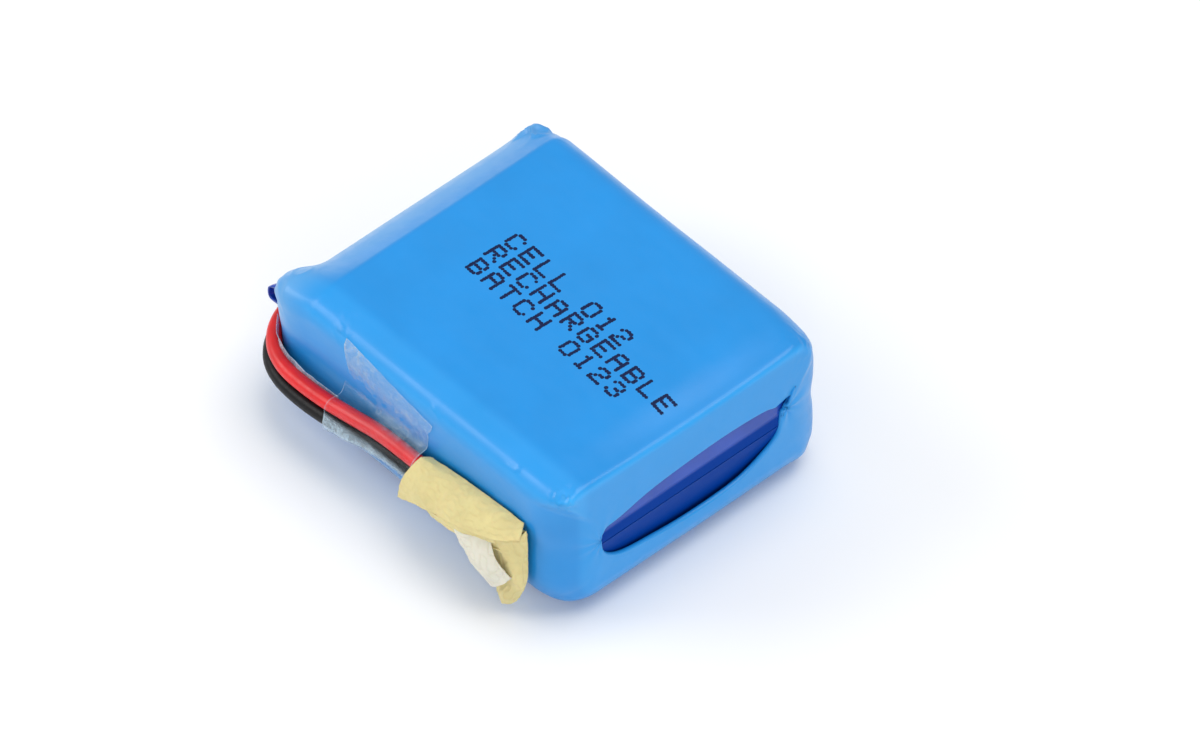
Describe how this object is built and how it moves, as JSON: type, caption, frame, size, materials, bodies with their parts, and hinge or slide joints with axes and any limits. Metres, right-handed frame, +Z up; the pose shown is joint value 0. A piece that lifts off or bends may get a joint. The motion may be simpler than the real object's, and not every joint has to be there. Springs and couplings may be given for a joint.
{
  "type": "pouch battery cell",
  "caption": "Rectangular lithium-polymer pouch cell pack in a blue heat-shrink sleeve, open at one end, with red and black leads taped along its side.",
  "frame": {"origin": "centre of the sleeve's flat bottom face, where the pack lies on a surface", "axes": "+X from the lead end to the open end, +Z up through the thickness; the leads run along the -Y side"},
  "size_m": [0.044, 0.038, 0.0182],
  "materials": {
    "sleeve_film": "satin",
    "cell_film": "gloss",
    "board_tape_film": "gloss",
    "pouch_laminate": "satin",
    "cathode_foil": "matt",
    "anode_foil": "matt",
    "separator_film": "matt",
    "roll_tape_film": "gloss",
    "aluminium_tab": "satin",
    "nickel_tab": "satin",
    "seal_film": "satin",
    "bond_tape_foam": "matt",
    "board_laminate": "satin",
    "chip_resin": "matt",
    "resistor_body": "satin",
    "capacitor_body": "satin",
    "nickel_link_strip": "satin",
    "insulating_paper_sheet": "matt",
    "solder": "gloss",
    "tinned_copper": "satin",
    "red_insulation": "satin",
    "black_insulation": "satin",
    "clear_film": "gloss",
    "crepe_paper": "matt"
  },
  "bodies": {
    "root": {"black_lead": "black_insulation", "black_lead_conductor": "tinned_copper", "board": "board_laminate", "board_capacitor": "capacitor_body", "board_mosfet": "chip_resin", "board_protection_chip": "chip_resin", "board_resistors": "resistor_body", "board_tape": "board_tape_film", "bond_tape": "bond_tape_foam", "clear_tape": "clear_film", "insulating_paper": "insulating_paper_sheet", "lead_end_tape": "crepe_paper", "lead_solder": "solder", "lower_cell_anode": "anode_foil", "lower_cell_cathode": "cathode_foil", "lower_cell_film_wrap": "cell_film", "lower_cell_negative_tab": "nickel_tab", "lower_cell_positive_tab": "aluminium_tab", "lower_cell_pouch_cover": "pouch_laminate", "lower_cell_pouch_cup": "pouch_laminate", "lower_cell_roll_tape": "roll_tape_film", "lower_cell_separators": "separator_film", "lower_cell_tab_seals": "seal_film", "negative_link": "nickel_link_strip", "positive_link": "nickel_link_strip", "red_lead": "red_insulation", "red_lead_conductor": "tinned_copper", "shrink_sleeve": "sleeve_film", "upper_cell_anode": "anode_foil", "upper_cell_cathode": "cathode_foil", "upper_cell_film_wrap": "cell_film", "upper_cell_negative_tab": "nickel_tab", "upper_cell_positive_tab": "aluminium_tab", "upper_cell_pouch_cover": "pouch_laminate", "upper_cell_pouch_cup": "pouch_laminate", "upper_cell_roll_tape": "roll_tape_film", "upper_cell_separators": "separator_film", "upper_cell_tab_seals": "seal_film"}
  },
  "joints": []
}
